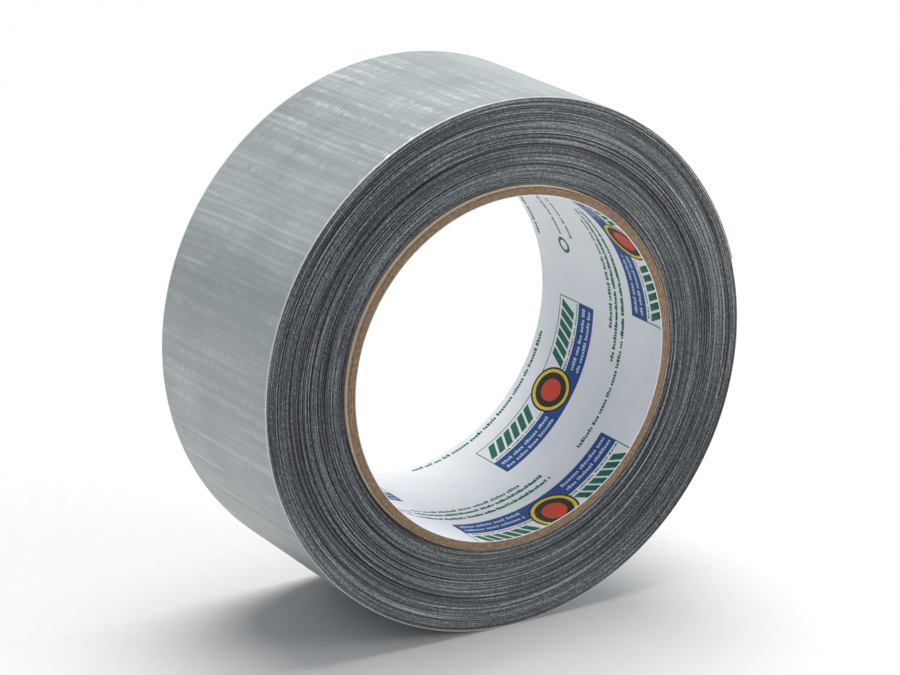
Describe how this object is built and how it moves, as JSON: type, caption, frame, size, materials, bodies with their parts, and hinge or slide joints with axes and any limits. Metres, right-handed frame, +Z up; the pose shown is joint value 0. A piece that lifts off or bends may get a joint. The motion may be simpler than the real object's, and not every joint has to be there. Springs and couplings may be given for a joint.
{
  "type": "duct tape roll",
  "caption": "Ring-shaped roll of cloth-backed adhesive tape wound on a paper core with an open bore; the free end peels off the round surface.",
  "frame": {"origin": "centre of the core's bore, midway between the core's two ends", "axes": "+Y along the roll's axis from the front side to the back, +Z up with the roll standing on its round surface, +X to the right seen from the front"},
  "size_m": [0.1189, 0.0488, 0.1191],
  "materials": {
    "liner_paper": "semi-gloss white paper, printed",
    "kraft_board": "matte unbleached board",
    "tape_edge": "slit edges of many turns, dark and slightly rough",
    "tape_film": "satin silver film, embossed by the cloth beneath",
    "tape_scrim": "open cotton gauze",
    "tape_adhesive": "tacky grey rubber adhesive"
  },
  "bodies": {
    "roll": {"core_liner": "liner_paper", "core_ply_1": "kraft_board", "core_ply_2": "kraft_board", "core_ply_3": "kraft_board", "core_ply_4": "kraft_board", "wound_tape": "tape_edge", "outer_turn_film": "tape_film", "outer_turn_scrim": "tape_scrim", "outer_turn_adhesive": "tape_adhesive"},
    "lead_1": {"lead_1_film": "tape_film", "lead_1_scrim": "tape_scrim", "lead_1_adhesive": "tape_adhesive"},
    "lead_2": {"lead_2_film": "tape_film", "lead_2_scrim": "tape_scrim", "lead_2_adhesive": "tape_adhesive"},
    "lead_3": {"lead_3_film": "tape_film", "lead_3_scrim": "tape_scrim", "lead_3_adhesive": "tape_adhesive"},
    "lead_4": {"lead_4_film": "tape_film", "lead_4_scrim": "tape_scrim", "lead_4_adhesive": "tape_adhesive"},
    "lead_5": {"lead_5_film": "tape_film", "lead_5_scrim": "tape_scrim", "lead_5_adhesive": "tape_adhesive"}
  },
  "joints": [
    {"name": "peel_1", "type": "hinge", "parent": "roll", "child": "lead_1", "pos_m": [0.03424, 0, 0.0489], "axis": [0, -1, 0], "range_deg": [0, 18]},
    {"name": "peel_2", "type": "hinge", "parent": "lead_1", "child": "lead_2", "pos_m": [0.04071, 0, 0.04366], "axis": [0, -1, 0], "range_deg": [0, 18]},
    {"name": "peel_3", "type": "hinge", "parent": "lead_2", "child": "lead_3", "pos_m": [0.04639, 0, 0.03757], "axis": [0, -1, 0], "range_deg": [0, 18]},
    {"name": "peel_4", "type": "hinge", "parent": "lead_3", "child": "lead_4", "pos_m": [0.05117, 0, 0.03075], "axis": [0, -1, 0], "range_deg": [0, 18]},
    {"name": "peel_5", "type": "hinge", "parent": "lead_4", "child": "lead_5", "pos_m": [0.05495, 0, 0.02332], "axis": [0, -1, 0], "range_deg": [0, 18]}
  ],
  "couplings": [
    {"joint": "peel_2", "follows": "peel_1", "ratio": 1},
    {"joint": "peel_3", "follows": "peel_1", "ratio": 1},
    {"joint": "peel_4", "follows": "peel_1", "ratio": 1},
    {"joint": "peel_5", "follows": "peel_1", "ratio": 1}
  ]
}
